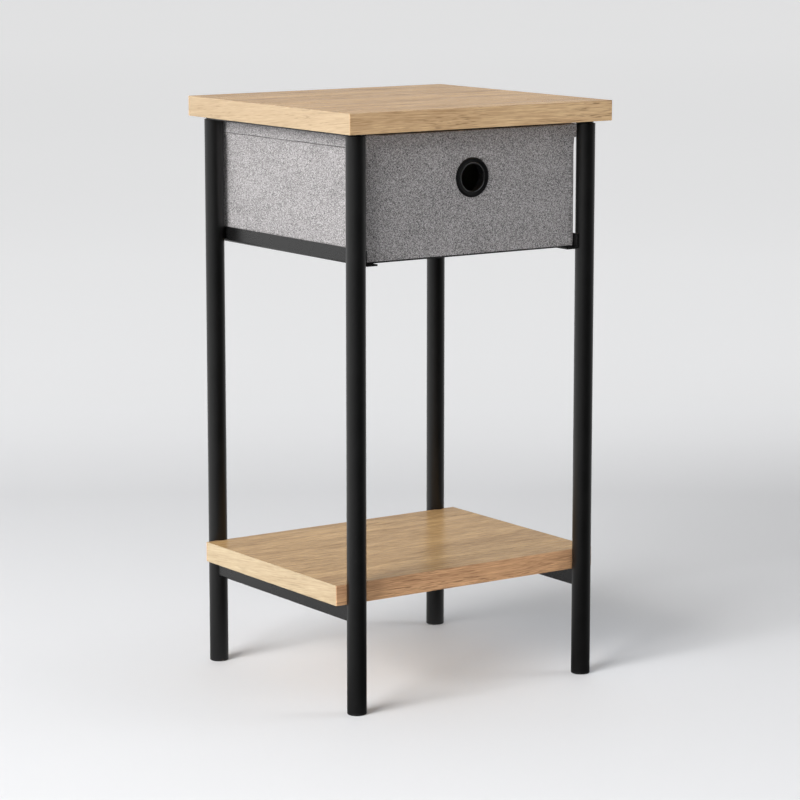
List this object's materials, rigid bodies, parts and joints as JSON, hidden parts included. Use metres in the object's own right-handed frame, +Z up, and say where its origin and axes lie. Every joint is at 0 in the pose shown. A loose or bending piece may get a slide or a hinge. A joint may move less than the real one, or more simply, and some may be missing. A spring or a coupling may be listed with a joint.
{
  "type": "side table with drawer",
  "caption": "Small square side table with a board top, a lower board shelf, round steel legs and a fabric drawer that slides on angle rails.",
  "frame": {"origin": "centre of the table's footprint, on the floor", "axes": "+X to the right as seen from the drawer's front, +Y to the back, +Z up; the drawer opens towards -Y"},
  "size_m": [0.326, 0.3056, 0.61],
  "materials": {
    "board": "oak-look laminate, matt",
    "edge_strip": "oak-look edge strip, matt",
    "steel_tube": "black satin powder coat",
    "steel_section": "black satin powder coat",
    "foot_plug": "black moulded plastic",
    "screw": "black oxide",
    "drawer_fabric": "light grey heather weave",
    "drawer_hem": "light grey heather weave, folded and stitched",
    "drawer_lining": "grey non-woven lining",
    "stiffener": "hardboard",
    "grommet": "black moulded plastic, satin"
  },
  "bodies": {
    "frame": {"top_board": "board", "top_edge_front": "edge_strip", "top_edge_back": "edge_strip", "top_edge_left": "edge_strip", "top_edge_right": "edge_strip", "shelf_board": "board", "shelf_edge_front": "edge_strip", "shelf_edge_back": "edge_strip", "shelf_edge_left": "edge_strip", "shelf_edge_right": "edge_strip", "leg_front_left": "steel_tube", "leg_back_left": "steel_tube", "leg_front_right": "steel_tube", "leg_back_right": "steel_tube", "foot_plug_front_left": "foot_plug", "foot_plug_back_left": "foot_plug", "foot_plug_front_right": "foot_plug", "foot_plug_back_right": "foot_plug", "left_top_bar": "steel_section", "right_top_bar": "steel_section", "left_shelf_rail": "steel_section", "right_shelf_rail": "steel_section", "left_drawer_rail": "steel_section", "right_drawer_rail": "steel_section", "top_screws": "screw", "shelf_screws": "screw"},
    "drawer": {"drawer_cover": "drawer_fabric", "drawer_lining": "drawer_lining", "drawer_front_board": "stiffener", "drawer_back_board": "stiffener", "drawer_left_board": "stiffener", "drawer_right_board": "stiffener", "drawer_base_board": "drawer_lining", "drawer_hem": "drawer_hem", "grommet_front": "grommet", "grommet_back": "grommet"}
  },
  "joints": [
    {"name": "drawer_slide", "type": "slide", "parent": "frame", "child": "drawer", "axis": [0, -1, 0], "range_m": [0, 0.2]}
  ]
}
